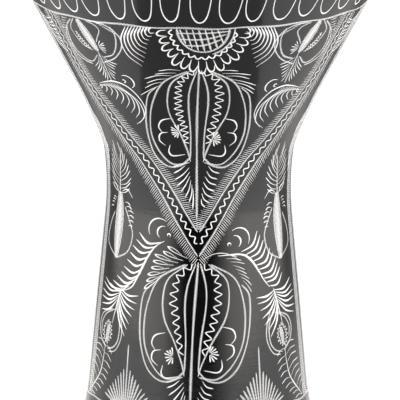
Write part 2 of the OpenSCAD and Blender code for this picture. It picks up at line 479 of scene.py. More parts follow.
def left_of(path):
    """Unit vectors to the left of a path."""
    tangent = np.gradient(path)
    return 1j * tangent / np.maximum(np.abs(tangent), 1e-6)


def rocking(count):
    """One and minus one by turns."""
    return np.where(np.arange(count) % 2, 1.0, -1.0)


class Graver:
    """Collects cuts, each a path and a half width at each point, for one side of a panel."""

    def __init__(self, seed, right=False):
        self.hand = random.Random(seed)
        self.right = right
        self.cuts = []

    def near(self, size):
        """A small random amount, either way."""
        return self.hand.uniform(-size, size)

    def even(self, path, half):
        """A cut of one width."""
        self.cuts.append((path, half * np.ones(len(path))))

    def rocked(self, path, width=1.2):
        """A line made by walking the tool: a close zigzag, with a little drift in its width."""
        path = evenly(path, ROCKED_STEP)
        count = len(path)
        swing = width * (0.34 + 0.07 * np.sin(np.arange(count) / 17 + self.near(3)))
        from_end = np.minimum(np.arange(count), count - 1 - np.arange(count))
        fade = np.clip(from_end / 4, 0.3, 1)
        self.even(path + left_of(path) * rocking(count) * swing * fade, ROCKED_HALF)

    def line(self, width, *knots):
        """A rocked line through a few knots."""
        self.rocked(curve(*knots), width)

    def sweep(self, path, width, full=0.5):
        """A single cut that swells to its full width part of the way along."""
        path = evenly(path, STROKE_STEP)
        t = np.linspace(0, 1, len(path))
        swell = np.interp(t, [0, full, 1], [0.12, 1, 0.12]) ** 0.8
        self.cuts.append((path, width / 2 * swell))

    def flick(self, path, width):
        """A cut that starts fine and ends broad and round."""
        path = evenly(path, STROKE_STEP)
        t = np.linspace(0, 1, len(path))
        self.cuts.append((path, width / 2 * np.interp(t, [0, 0.8, 1], [0.2, 1, 0.5])))

    def zigzag(self, path, reach, pitch, width):
        """Long rocked steps, that can be told apart."""
        path = evenly(path, pitch / 2)
        t = np.linspace(0, 1, len(path))
        size = reach / 2 * (0.55 + 0.45 * np.sin(np.pi * t))
        jitter = np.array([1 + self.near(0.3) for _ in path])
        self.even(curve(*(path + left_of(path) * rocking(len(path)) * size * jitter), steps=4), width / 2)

    def wave(self, path, reach, pitch, width, phase=0.0):
        """A line that weaves evenly about a path."""
        path = evenly(path, pitch / 8)
        turns = np.arange(len(path)) * math.tau / 8 + phase
        self.even(path + left_of(path) * np.sin(turns) * reach / 2, width / 2)

    def hatch(self, path, length, pitch=1.45, slant=0.3, width=0.52):
        """A row of short cuts along a path, to its left, leaning forward by slant."""
        path = evenly(path, pitch)
        for point, left in zip(path, left_of(path)):
            reach = length * (1 + self.near(0.1))
            end = point + reach * left * np.exp(-1j * (slant + self.near(0.05)))
            self.cuts.append((np.array([point, (point + end) / 2, end]),
                              width / 2 * np.array([1.1, 1.0, 0.4])))

    def peel(self, starts, tips, count, curl=0.0, width=1.0, full=None, ragged=0.0):
        """A row of curved strokes, from points along one path to points along another."""
        for start, tip in zip(spaced(starts, count), spaced(tips, count)):
            tip = tip + self.near(0.5) + 1j * self.near(0.5) + (tip - start) * self.near(ragged)
            middle = (start + tip) / 2 + 1j * (tip - start) * (curl + self.near(0.03))
            path = curve(start, middle, tip, steps=6)
            if full is None:
                self.flick(path, width * (1 + self.near(0.15)))
            else:
                self.sweep(path, width * (1 + self.near(0.15)), full)

    def nest(self, count, width, full, *paths):
        """A row of strokes, each through matching points of several paths."""
        for knots in zip(*(spaced(path, count) for path in paths)):
            self.sweep(curve(*knots, steps=8), width * (1 + self.near(0.12)), full)

    def petals(self, starts, tips, count, girth):
        """A row of narrow petals, each two fine lines that join in a broad tip."""
        for start, tip in zip(spaced(starts, count), spaced(tips, count)):
            tip = tip + (tip - start) * self.near(0.1)
            side = 1j * (tip - start) / abs(tip - start) * girth / 2
            middle = 0.3 * start + 0.7 * tip
            petal = curve(start, middle + side, tip, middle - side, start + 0.3 * (tip - start))
            path = evenly(petal, STROKE_STEP)
            t = np.linspace(0, 1, len(path))
            self.cuts.append((path, np.interp(t, [0, 0.4, 0.55, 0.7, 1], [0.2, 0.38, 0.75, 0.38, 0.15])))

    def star(self, centre, radius, count, start, end, width):
        """Short thick cuts that spring from one point."""
        for angle in np.radians(np.linspace(start, end, count)):
            out = np.exp(1j * (angle + self.near(0.06)))
            reach = radius * (1 + self.near(0.15))
            self.flick(centre + out * np.array([0.15, 0.6, 1.0]) * reach, width)

    def spindle(self, foot, tip, width, pitch=0.8):
        """A pod's core, filled with close steps from side to side."""
        axis = evenly(np.array([foot, tip]), pitch / 2)
        t = np.linspace(0, 1, len(axis))
        half = width / 2 * np.sin(np.pi * (0.08 + 0.88 * t)) ** 0.7
        self.even(evenly(axis + left_of(axis) * rocking(len(axis)) * half, FILL_STEP), FILL_HALF)
        for side in (-1, 1):
            self.rocked(axis + left_of(axis) * side * half, 0.8)


def graver_section():
    """The section that stands for a cut: a low roof, for a cut whose half width is one."""
    section = bpy.data.curves.new("graver_section", "CURVE")
    section.dimensions = "2D"
    roof = section.splines.new("POLY")
    roof.points.add(2)
    roof.points.foreach_set("co", [-1, EDGE_SUNK, 0, 1, 0, RIDGE, 0, 1, 1, EDGE_SUNK, 0, 1])
    roof.use_cyclic_u = True
    return bpy.data.objects.new("graver_section", section)


SECTION = graver_section()


def drawn(cuts):
    """A flat mesh, in millimetres, of a list of cuts."""
    flat = bpy.data.curves.new("cuts", "CURVE")
    flat.dimensions = "2D"
    flat.fill_mode = "NONE"
    flat.bevel_mode = "OBJECT"
    flat.bevel_object = SECTION
    flat.use_fill_caps = True
    for path, half in cuts:
        spline = flat.splines.new("POLY")
        spline.points.add(len(path) - 1)
        places = np.zeros((len(path), 4))
        places[:, 0] = path.real
        places[:, 1] = path.imag
        places[:, 3] = 1
        spline.points.foreach_set("co", places.ravel())
        spline.points.foreach_set("radius", half)
    holder = bpy.data.objects.new("cuts", flat)
    bpy.context.collection.objects.link(holder)
    graph = bpy.context.evaluated_depsgraph_get()
    mesh = bpy.data.meshes.new_from_object(holder.evaluated_get(graph))
    bpy.data.objects.remove(holder)
    bpy.data.curves.remove(flat)
    return mesh


class Panel:
    """One piece of engraving: flat drawings laid on the drum's wall."""

    def __init__(self, name):
        self.name = name
        self.bm = bmesh.new()

    def lay(self, graver, meridian, mirrored=False):
        """Lays cuts drawn about a meridian, with heights along the wall measured from the waist."""
        mesh = drawn(graver.cuts)
        places = np.empty(len(mesh.vertices) * 3)
        mesh.vertices.foreach_get("co", places)
        across, up, lift = places.reshape(-1, 3).T
        if mirrored:
            across = -across
        wall_r = np.interp(up, WALL_RUN, WALL_R)
        wall_z = np.interp(up, WALL_RUN, WALL_Z)
        lean = np.radians(np.interp(up, WALL_RUN, WALL_LEAN))
        angle = np.radians(meridian) + across / wall_r
        radius = wall_r + lift * np.cos(lean)
        solid = np.column_stack([radius * np.sin(angle), -radius * np.cos(angle),
                                 wall_z - lift * np.sin(lean)])
        mesh.vertices.foreach_set("co", solid.ravel())
        self.bm.from_mesh(mesh)
        bpy.data.meshes.remove(mesh)

    def done(self, turn=0.0):
        """Joins what was laid into one piece, turned round the drum."""
        bmesh.ops.remove_doubles(self.bm, verts=self.bm.verts, dist=0.002)
        bmesh.ops.recalc_face_normals(self.bm, faces=self.bm.faces)
        if turn:
            spin = Matrix.Rotation(math.radians(turn), 3, "Z")
            bmesh.ops.rotate(self.bm, cent=(0, 0, 0), matrix=spin, verts=self.bm.verts)
        finished(self.name, self.bm, [BRIGHT], "drum_shell", smooth=False)


# ---- Motifs ----
# Each is drawn for the left of its panel, and laid again mirrored for the right.
RING_RUN = 139.0
POD_H = 77.0


def pod_stem(g, base, lean, stem_length):
    """The thick line up the middle of a tall pod, and on below it."""
    g.line(1.7, 1j * (base + POD_H), -0.6 - 0.5 * lean + 1j * (base + POD_H / 2), -lean + 1j * base,
           0.4 - 1.2 * lean + 1j * (base - stem_length))


def pod_half(g, base, width, lean, details):
    """Half of a tall pod: leaf, zigzag vein, inner and outer lobes, scallops, star and tassel."""
    drift = -lean if g.right else lean
    drop, pitch = details[g.right]

    def at(*knots):
        return curve(*(-x * width - drift * (1 - y) + 1j * (base + y * POD_H) for x, y in knots))

    g.rocked(at((0.04, 0.99), (0.16, 0.79), (0.18, 0.60), (0.13, 0.32), (0.12, 0.06)), 1.25)
    g.rocked(at((0.18, 0.98), (0.50, 0.85), (0.58, 0.68), (0.53, 0.50), (0.33, 0.31), (0.18, 0.13),
                (0.12, 0.02)), 1.25)
    g.zigzag(at((0.08, 0.97), (0.32, 0.88), (0.39, 0.72), (0.35, 0.54), (0.27, 0.38), (0.19, 0.20)),
             5.0, pitch, 1.05)
    g.rocked(at((0.22, 0.98), (0.66, 0.85), (0.86, 0.63), (0.91, 0.42), (0.86, 0.24), (0.68, 0.08),
                (0.44, -0.01), (0.14, 0.01)), 1.3)
    g.rocked(at((0.80, 0.79), (0.96, 0.69), (1.0, 0.48), (0.96, 0.27), (0.81, 0.07), (0.56, -0.03),
                (0.30, -0.02), (0.12, 0.06)), 1.3)
    for knots, thick in ((((0.50, 0.46), (0.68, 0.43), (0.74, 0.36), (0.66, 0.30)), 1.8),
                         (((0.56, 0.31), (0.70, 0.29), (0.72, 0.22), (0.60, 0.17)), 1.8),
                         (((0.51, 0.18), (0.53, 0.11), (0.45, 0.07), (0.22, 0.09)), 1.9)):
        g.sweep(at(*((x, y - drop) for x, y in knots)), thick, 0.45)
    heart = at((0.29, 0.25), (0.29, 0.24)) if g.right else at((0.35, 0.32), (0.35, 0.31))
    g.star(heart[0] - 1.8j * drop * POD_H, 5.6, 8, 95, 262, 1.6)
    below = 1j * base - drift
    if g.right:
        g.peel(below + curve(-7.5 - 1.5j, -5.5 - 8.5j, -4 - 14j, -3 - 24j),
               below + curve(-14.5 - 7j, -12.5 - 15j, -10 - 24j, -6 - 30j), 7, 0.15, 1.5, 0.8)
    else:
        g.peel(below + curve(-10 + 0j, -5 - 3j, -4.5 - 8j, -2.5 - 17j),
               below + curve(-16.5 - 3j, -14.5 - 11.5j, -10 - 20j, -2.5 - 30.5j), 8, 0.04, 1.4, 0.8)


def upper_whiskers(g):
    """Strokes that spring outwards from the upper pod's shoulder."""
    tips = curve(-28 + 103j, -33 + 97j, -36 + 89j, -37 + 82j)
    g.peel(curve(-12 + 104j, -18 + 99j, -25 + 91j), tips, 6, -0.05, 1.0, ragged=0.18)


def lower_whiskers(g):
    """Narrow petals on one side of the lower pod's top, and plain strokes on the other."""
    if g.right:
        g.peel(curve(-16 - 34j, -23 - 40.5j, -28 - 48j, -30.5 - 51.5j),
               curve(-26 - 35j, -31 - 41j, -33.5 - 48j, -36 - 54j, -36.5 - 59j), 8, -0.05, 0.8, ragged=0.1)
        g.sweep(curve(-3 - 36j, -11 - 32.5j, -19 - 33j, -27 - 37j), 0.9)
    else:
        g.petals(curve(-7 - 35.5j, -12 - 38j, -18.5 - 42j, -26.5 - 50j),
                 curve(-20 - 28.5j, -24 - 32j, -30 - 37j, -33 - 43.5j, -36 - 52j, -37.5 - 58j), 8, 2.1)


def sunflower_heart(g):
    """A half disc that hangs from the ring line: hatched heart, toothed rim and open petals."""
    centre = 2.5 + 1j * RING_RUN
    wide, deep = 17.0, 19.5
    g.rocked(arc(centre, wide, 180, 360, deep / wide), 1.7)
    g.rocked(arc(centre + 1, wide + 2.6, 285, 360, (deep + 2.4) / (wide + 2.6)), 1.4)
    for depth, rise in ((3.5, 1.0), (8.5, 3.5), (13.5, 4.5)):
        reach = wide * math.sqrt(1 - (depth / deep) ** 2) * 0.97
        g.line(1.3, centre - reach - 1j * (depth + 0.5), centre - 1j * (depth + 0.4),
               centre + reach - 1j * (depth - rise))
    for number in range(7):
        x = wide * (-0.72 + 0.24 * number)
        depth = deep * math.sqrt(1 - (x / wide) ** 2)
        g.rocked(centre + curve(x - 3 - 0.8j, x - 1 - 0.5j * depth, x + 1 - 0.96j * depth), 1.4)
    rim = evenly(arc(centre, 21.5, 183, 352, 24.5 / 21.5), STROKE_STEP)
    bumps = np.abs(np.sin(np.linspace(0, 14 * math.pi, len(rim))))
    g.even(rim - left_of(rim) * (2.4 * bumps - 1.2), 0.75)
    petals = 15
    for number in range(petals):
        share = number / (petals - 1)
        angle = math.radians(190 + 160 * share)
        out = math.cos(angle) + 1.12j * math.sin(angle)
        across = 1j * np.exp(1j * angle)
        reach = (29.5 + 2.5 * math.sin(math.pi * share)) * (1 + g.near(0.04))
        back = 5.5 - 3 * share
        g.sweep(centre + curve(out * 24 - across * 2.9, out * (reach - 2) - across * 3.0,
                               out * (reach + 0.6) - across * 1.2, out * (reach - 0.3) + across * 0.9,
                               out * (reach - back) + across * 2.1), 2.0, 0.58)


def fan(g):
    """Nested curved strokes that open downwards from the ring line."""
    g.nest(9, 1.9, 0.25,
           curve(27 + 139j, 20 + 139j, 9 + 138.5j),
           curve(24.5 + 136.5j, 13 + 131j, 2.5 + 126j),
           curve(25 + 134j, 13.5 + 123j, 4 + 114j),
           curve(28 + 134.5j, 22 + 127j, 18 + 117j, 12.5 + 105.5j))


def lobed_pod(g):
    """A leaning two-lobed pod under the ring line, with a filled core and a tassel."""
    g.spindle(2.5 + 138j, 10 + 113.5j, 6.5)
    g.line(1.0, -1 + 138j, -7.5 + 130j, -6.5 + 124j, -2 + 117j, 6 + 113.5j)
    g.line(1.15, -4 + 137j, -12 + 129j, -14.5 + 115.5j, -9 + 107j, 0 + 103.5j, 8 + 110j)
    g.line(1.0, -12.5 + 130j, -17.5 + 119j, -14.5 + 108j, -7 + 103j, 0 + 101.5j)
    g.line(1.0, 10.5 + 138j, 17 + 135.5j, 19 + 131.5j, 15 + 125.5j, 12 + 121j)
    g.line(1.2, 12 + 138.5j, 23.5 + 137.5j, 30 + 133j, 29 + 123.5j, 22.5 + 113j, 13 + 109j)
    g.line(1.2, 29 + 136j, 33.5 + 127j, 30.5 + 118j, 22 + 109.5j, 11 + 104.5j)
    g.zigzag(curve(-4 + 127j, -2 + 121j, 4 + 115j), 3.0, 2.0, 0.7)
    g.star(12 + 117.5j, 6.5, 6, 55, -45, 1.0)
    g.line(1.2, 10 + 113j, 10.5 + 103j, 11 + 89j)
    g.peel(curve(9.5 + 110.5j, 9 + 103j, 9 + 98j), curve(1 + 99.5j, 2.5 + 96j, 7.5 + 89.5j), 6, 0.08, 1.1)
    g.peel(curve(11.5 + 110j, 12 + 101.5j, 12 + 97j), curve(22 + 105j, 19 + 101j, 15 + 91j), 6, -0.08, 1.1)
    g.peel(curve(17 + 138j, 30 + 131j), curve(21 + 137.5j, 34 + 129j), 8, 0.1, 0.6)
    g.peel(curve(-8 + 137j, -13 + 128j), curve(-14 + 137j, -18 + 128j), 5, 0.1, 0.7)


def palm(g):
    """A leaf of nested strokes that leave one root and curl under, with a hook and a dot above it."""
    shift = -5 - 3j if g.right else 0
    g.sweep(shift + curve(-3 + 85j, 5 + 88j, 13.5 + 89.5j, 22.5 + 86.5j, 28 + 78j, 28.5 + 68.5j,
                          23.5 + 60.5j, 17.5 + 56j), 1.8, 0.3)
    g.nest(9, 1.25, 0.7,
           shift + curve(-4 + 82j, 3 + 87j, 13 + 89j),
           shift + curve(-1 + 84.5j, 11 + 84j, 20 + 81j, 25.5 + 76j),
           shift + curve(-1 + 82.5j, 11 + 79.5j, 20 + 73.5j, 26 + 64j),
           shift + curve(-3 + 81j, 5 + 76j, 13 + 69j, 18 + 62j, 20 + 57j))
    g.sweep(shift + arc(24 + 91j, 5.0, 120, -70), 1.9, 0.6)
    g.sweep(shift + arc(21.5 + 91j, 1.2, 150, -120), 1.6, 0.5)


def spindle_pod(g):
    """A slim hanging pod beside the waist, with one lobe to each side."""
    g.line(1.2, 3.5 + 28j, 1.5 + 14j, 0.5 + 1j)
    g.spindle(1 + 2j, 0.5 - 42j, 8.5, 0.8)
    g.sweep(curve(-9 + 7j, -4 + 6j, -1 + 1j), 1.1, 0.7)
    g.sweep(curve(14 + 0j, 9 + 5j, 3 + 3j), 1.3, 0.6)
    g.line(0.9, -5.5 - 12j, -10.5 - 21.5j, -11.5 - 33.5j, 1 - 42j)
    g.line(1.1, 6.5 - 7j, 12.5 - 17j, 15.5 - 25j, 12 - 36j, 1 - 42j)
    g.peel(curve(6 - 4j, 9 - 10j, 11 - 19j), curve(12 - 5j, 15 - 11j, 15 - 19j), 6, 0.2, 1.3)
    g.peel(curve(-4 - 3j, -7 - 9j), curve(-8 - 2j, -11 - 9j), 4, -0.2, 1.0)
    stem = curve(1 + 2j, 1.5 + 14j, 2 + 22j)
    g.peel(stem, curve(11 + 6j, 13 + 16j, 9 + 28j, 5 + 37j), 9, -0.10, 1.2)
    g.peel(stem, curve(-9 + 7j, -11 + 17j, -7 + 28j, -1 + 37j), 9, 0.10, 0.9)


def plume(g):
    """A heavy feather that sweeps down and out from below the chevron."""
    if g.right:
        spine = curve(29 - 34j, 14 - 34j, 6.5 - 38j, 0 - 47j, -4 - 53.5j, -8.5 - 58.5j)
        starts = curve(13 - 32.5j, 5 - 39.5j, 1 - 45j, -2.5 - 51j, -8 - 58j)
        tips = curve(0 - 20j, -8 - 31j, -13.5 - 35.5j, -18.5 - 44j, -22.5 - 51j)
    else:
        spine = curve(21 - 25j, 15 - 29j, 10 - 36j, 6 - 44j, 2 - 52j, -2 - 58.5j, -10 - 62.5j)
        starts = curve(19 - 26j, 12.5 - 33j, 8.5 - 41j, 4 - 50j, -4 - 58j)
        tips = curve(2 - 22j, -4 - 33j, -10 - 45.5j, -17 - 54j, -25 - 60j)
    g.sweep(spine, 2.8, 0.5)
    g.peel(starts, tips, 10, 0.2, 2.6, 0.55)


def low_plume(g):
    """A palm that hangs under the plume, and opens to both sides."""
    g.sweep(curve(6 - 60j, 4.5 - 66j, 1 - 78j, -1 - 86j), 2.2, 0.2)
    root = curve(5.5 - 61.5j, 4.5 - 64j, 3 - 69j)
    g.peel(root, curve(-14.5 - 57j, -18 - 66j, -18.5 - 73j, -17 - 80j), 6, 0.12, 2.3, 0.5)
    g.peel(root, curve(21.5 - 64j, 20.5 - 70j, 17 - 80.5j, 12 - 92j), 7, -0.1, 2.2, 0.5)


def spiny_pod(g):
    """A small spiny seed between two lobes, with a feathered stem that leans out to the foot ring."""
    g.spindle(4 - 87j, 2 - 98j, 3.2, 1.0)
    g.zigzag(curve(3 - 84.5j, -2.5 - 91.5j, 1 - 99.5j, 7 - 94.5j, 6 - 87.5j, 3 - 84.5j), 2.6, 2.5, 0.6)
    g.line(1.1, 7 - 76j, -5 - 81j, -9 - 89j, -6 - 97j, 2 - 103j)
    g.line(0.9, 9 - 76j, -1 - 81j, -6 - 88j, -5 - 95j)
    g.line(1.1, 10 - 74j, 15 - 84j, 15 - 95j, 11 - 101j, 4 - 103.5j)
    g.line(0.9, 13 - 74j, 17.5 - 86j, 17.5 - 95j, 13 - 103j, 6 - 105j)
    stem = curve(1 - 101.5j, 0 - 111j, -4 - 123j, -18.5 - 137j)
    g.sweep(stem, 1.8, 0.7)
    g.peel(stem, curve(-11 - 99j, -14 - 108j, -18 - 119j, -24 - 131j), 9, -0.12, 0.85)
    g.peel(stem, curve(10 - 106j, 9 - 116j, 5 - 127j, -8 - 137j), 9, 0.12, 0.85)


def hooks(g):
    """Two nested crescents and a dot in the angle of the chevron."""
    shift = -4 - 6j if g.right else 0
    g.sweep(shift + arc(0.5 - 18j, 7.6, 210, 50), 1.8, 0.5)
    g.sweep(shift + arc(3.5 - 19.5j, 4.2, 235, 75), 1.9, 0.5)
    g.sweep(shift + arc(7.5 - 21j, 1.1, 215, -60), 1.6, 0.5)


def ray_burst(g):
    """A fir of straight rays: a tall one in the middle, and shorter ones that step down to each side."""
    g.rocked(np.array([-97j, -115j, -137.5j]), 1.5)
    for side in (-1, 1):
        for number in range(1, 9):
            tip = side * (0.4 + 2.5 * number) - 1j * (111.0 + 2.7 * number)
            foot = side * (0.3 + 1.1 * number) - 137.5j
            g.rocked(np.array([tip, (tip + foot) / 2, foot]), 1.45 + g.near(0.1))


# The chevron's arm, as degrees left of the panel's middle and distance up the wall.
# It starts past the middle, where the two arms are mitred.
ARM = ((-12, -47), (0, -27), (10, -10), (20, 8), (31, 25), (41, 40), (48, 54), (54, 69), (58, 84),
       (60, 98), (60.5, 112), (61, 126), (61.5, 141))
ARM_MERIDIAN = 36


def across_at(degrees, run):
    """Millimetres round the wall from the arm's meridian to a point given in degrees."""
    return np.radians(ARM_MERIDIAN - degrees) * np.interp(run, WALL_RUN, WALL_R)


def arm_line(middle, offset):
    """A line beside the arm's middle, stopped at the mitre and under the ring line."""
    line = middle + left_of(middle) * offset
    kept = (line.real < across_at(0.4, line.imag)) & (line.imag < RING_RUN - 0.5)
    return line[kept]


def chevron_arm(g):
    """Half of the chevron band: a wave between two lines, with a row of hatching to each side."""
    middle = evenly(curve(*(across_at(*place) + 1j * place[1] for place in ARM)), 0.8)
    g.wave(arm_line(middle, 0), 2.4, 5.8, 1.15)
    for offset in (-4.2, 4.2):
        g.rocked(arm_line(middle, offset), 1.4)
    g.hatch(arm_line(middle, 5.2), 5.6, slant=-0.3)
    g.hatch(arm_line(middle, -5.2)[::-1], 5.6, slant=0.3)


def side_strip(g, low, high):
    """The strip of chain and hatching that parts the front from the back, in degrees off its middle."""
    rows = np.linspace(low, high, 40)
    for side in (-1, 1):
        def at(degrees):
            return side * np.radians(degrees) * np.interp(rows, WALL_RUN, WALL_R) + 1j * rows
        for degrees in (6, 17):
            g.rocked(at(degrees), 0.9)
        for phase in (0, math.pi):
            g.wave(at(13), 4.4, 3.0, 0.55, phase)
        for degrees in (6, 17):
            edge = at(degrees)
            g.hatch(edge if side > 0 else edge[::-1], 3.2, 1.3, 0.4 * side)


def ring_band():
    """Ring lines and a garland of loops round the bowl, and lighter ones round the foot."""
    panel = Panel("engraving_rings")
    g = Graver(3)
    for run, width in ((RING_RUN, 1.6), (197.0, 1.5), (200.5, 1.1), (-139.0, 1.4), (-192.0, 1.2)):
        radius = np.interp(run, WALL_RUN, WALL_R)
        around = np.linspace(-math.pi * radius, math.pi * radius, 721)
        g.rocked(around + 1j * (run + 0.45 * np.sin(np.linspace(0, 34 * math.pi, 721))), width)
    panel.lay(g, 0)
    loops = 40
    for number in range(loops):
        g = Graver(100 + number)
        size, drop = 1 + g.near(0.10), g.near(1.0)
        loop = curve(-6.0 + 181j, -7.2 + 166j, -6.6 + 152j, -2.6 + 144.5j, 2.6 + 145.5j, 6 + 155j,
                     9.8 + 181j)
        loop = evenly(loop.real * size + 1j * (loop.imag + drop), STROKE_STEP)
        t = np.linspace(0, 1, len(loop))
        g.cuts.append((loop, 0.5 * np.interp(t, [0, 0.36, 0.5, 0.62, 1], [0.7, 1.0, 1.7, 1.1, 0.5])))
        panel.lay(g, number * 360 / loops + g.near(0.6))
    for number in range(loops // 2):
        g = Graver(200 + number)
        g.sweep(curve(-8 - 141j, -7 - 150j, 0 - 155j, 7 - 150j, 8 - 141j), 1.2, 0.5)
        g.peel(curve(-5 - 158j, 0 - 160j, 5 - 158j), curve(-7 - 172j, 0 - 182j, 7 - 172j), 5, 0.0, 1.2)
        panel.lay(g, number * 720 / loops)
    panel.done()


# Each pod: height of its base up the wall, half width, lean to the left, stem length, and for each side
# how far its scallops hang and how close its zigzag is. Each motif: its middle, in degrees to the left
# and to the right.
UPPER_POD = (28, 35, 1.3, 37, ((0, 4.4), (0, 5.6)))
LOWER_POD = (-115, 38, 4.5, 24, ((0.075, 6.2), (0.02, 5.8)))
BOWL_MOTIFS = ((upper_whiskers, 0, 0), (fan, 30, 30), (lobed_pod, 47, 46), (palm, 47, 45),
               (chevron_arm, ARM_MERIDIAN, ARM_MERIDIAN))
STEM_MOTIFS = ((lower_whiskers, 0, 0), (spindle_pod, 58, 58), (plume, 40, 38), (low_plume, 55, 54),
               (hooks, 25, 22), (spiny_pod, 62, 56), (ray_burst, 41, 35))


def decorated_side(name, turn, seed):
    """All the engraving of the front or the back, as one piece for the bowl and one for the stem."""
    for zone, pod, motifs in (("bowl", UPPER_POD, BOWL_MOTIFS), ("stem", LOWER_POD, STEM_MOTIFS)):
        base, width, lean, stem_length, details = pod
        panel = Panel("engraving_" + name + "_" + zone)
        g = Graver(seed)
        if zone == "bowl":
            sunflower_heart(g)
        pod_stem(g, base, lean, stem_length)
        panel.lay(g, 0)
        for mirrored in (False, True):
            seed += 20
            g = Graver(seed, mirrored)
            pod_half(g, base, width, lean, details)
            panel.lay(g, 0, mirrored)
            for number, (motif, left, right) in enumerate(motifs):
                g = Graver(seed + number + 1, mirrored)
                motif(g)
                panel.lay(g, right if mirrored else -left, mirrored)
        panel.done(turn)


def side_strips():
    """The strip at each side of the drum, with loose feathers beside it."""
    panel = Panel("engraving_side_strips")
    for number, meridian in enumerate((-90, 90)):
        g = Graver(900 + number)
        side_strip(g, -138, 138)
        for side in (-1, 1):
            g.peel(curve(side * 10 + 26j, side * 14 + 60j), curve(side * 20 + 14j, side * 26 + 44j),
                   8, side * 0.2, 1.3)
        for side in (-1, 1):
            g.peel(curve(side * 30 + 137j, side * 33 + 118j), curve(side * 51 + 133j, side * 45 + 106j),
                   9, side * -0.22, 1.4)
        panel.lay(g, meridian)
    panel.done()


# ---- Head and rim ----

def head_skin():
    """The film over the bearing edge, down its outside, and down into the hoop's slot."""
    gap, thick = 0.05, 0.25
    skirt_r = EDGE_R + 1.5 + gap
    slot_r = EDGE_R + 4.6
    slot_foot = HOOP_TOP - 6 + gap
    knee_z = HOOP_TOP + slot_r - skirt_r
    edge = (EDGE_R, EDGE_Z - 1.5)
    outline = [(0, EDGE_Z + gap), (0, EDGE_Z + gap + thick)]
    outline += [(r, EDGE_Z + gap + thick) for r in (30, 60, 90, 104)]
    outline += corner(edge, 1.5 + gap + thick, 90, 0, 10)
    outline += [(skirt_r + thick, knee_z + thick / 2), (slot_r + thick, HOOP_TOP + thick / 2),
                (slot_r + thick, slot_foot), (slot_r, slot_foot), (slot_r, HOOP_TOP), (skirt_r, knee_z)]
    outline += corner(edge, 1.5 + gap, 0, 90, 10)
    piece = finished("head_skin", turned(outline), [FILM], "drum_shell")
    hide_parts("head_film")


def hoop():
    """The hoop under the tuning ring, with the slot that holds the film."""
    inside, outside, bevel = EDGE_R + 2.4, EDGE_R + 7.4, 0.6
    slot_in = EDGE_R + 4.6 + 0.125 - 0.4
    slot_out = slot_in + 0.8
    outline = [(inside, HOOP_TOP), (inside, HOOP_FOOT + bevel), (inside + bevel, HOOP_FOOT),
               (outside - bevel, HOOP_FOOT), (outside, HOOP_FOOT + bevel), (outside, HOOP_TOP),
               (slot_out, HOOP_TOP), (slot_out, HOOP_TOP - 6), (slot_in, HOOP_TOP - 6), (slot_in, HOOP_TOP)]
    piece = finished("hoop_channel", turned(outline), [ROLLED], "drum_shell")
    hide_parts("head_hoop")


def rim():
    """The tuning ring: an upside-down channel with a boss and a counterbore for each bolt."""
    lip_r, lip_round, lip_flare = EDGE_R + 2.6, 4.0, 2.6
    press_z = HOOP_TOP + 0.05
    pilot_r, pilot_t = EDGE_R + 8.0, 3.5
    pilot_foot = press_z - 11
    channel_r, web_z, rim_round = RIM_R - 5.5, RIM_TOP - 7, 9.0
    outline = [(channel_r, RIM_FOOT + 0.6), (channel_r + 0.6, RIM_FOOT), (RIM_R - 1.2, RIM_FOOT)]
    outline += corner((RIM_R - 1.2, RIM_FOOT + 1.2), 1.2, -90, 0, 4)
    outline += corner((RIM_R - rim_round, RIM_TOP - rim_round), rim_round, 0, 90, 16)
    outline += corner((lip_r + lip_round, RIM_TOP - lip_round), lip_round, 90, 180, 10)
    outline += [(lip_r, press_z + lip_flare * 2), (lip_r + lip_flare, press_z + lip_flare),
                (lip_r + lip_flare, press_z), (pilot_r, press_z), (pilot_r, pilot_foot),
                (pilot_r + pilot_t, pilot_foot), (pilot_r + pilot_t, web_z), (channel_r, web_z)]
    piece = finished("tuning_rim", turned(outline), [LACQUER], "rim")
    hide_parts("tuning_ring")
    cutters, bosses = bmesh.new(), bmesh.new()
    bore_r, recess_r, chamfer = 3.3, 6.6, 0.6
    boss_r, boss_foot = BOLT_CIRCLE - pilot_r - 0.2, DECK_Z + 4
    for number in range(BOLTS):
        tube = [(bore_r, boss_foot), (boss_r - chamfer, boss_foot), (boss_r, boss_foot + chamfer),
                (boss_r, web_z), (bore_r, web_z)]
        add(bosses, placed(turned(tube, steps=SMALL_STEPS), number))
        hole = [(0, RIM_FOOT - 3), (bore_r, RIM_FOOT - 3), (bore_r, SEAT_Z), (recess_r, SEAT_Z),
                (recess_r, RIM_TOP - chamfer), (recess_r + chamfer * 2, RIM_TOP + chamfer),
                (0, RIM_TOP + chamfer)]
        add(cutters, placed(turned(hole, closed=False, steps=SMALL_STEPS), number))
    carve(piece, cutters)
    finished("rim_bosses", bosses, [LACQUER], "rim")


# ---- Fasteners ----

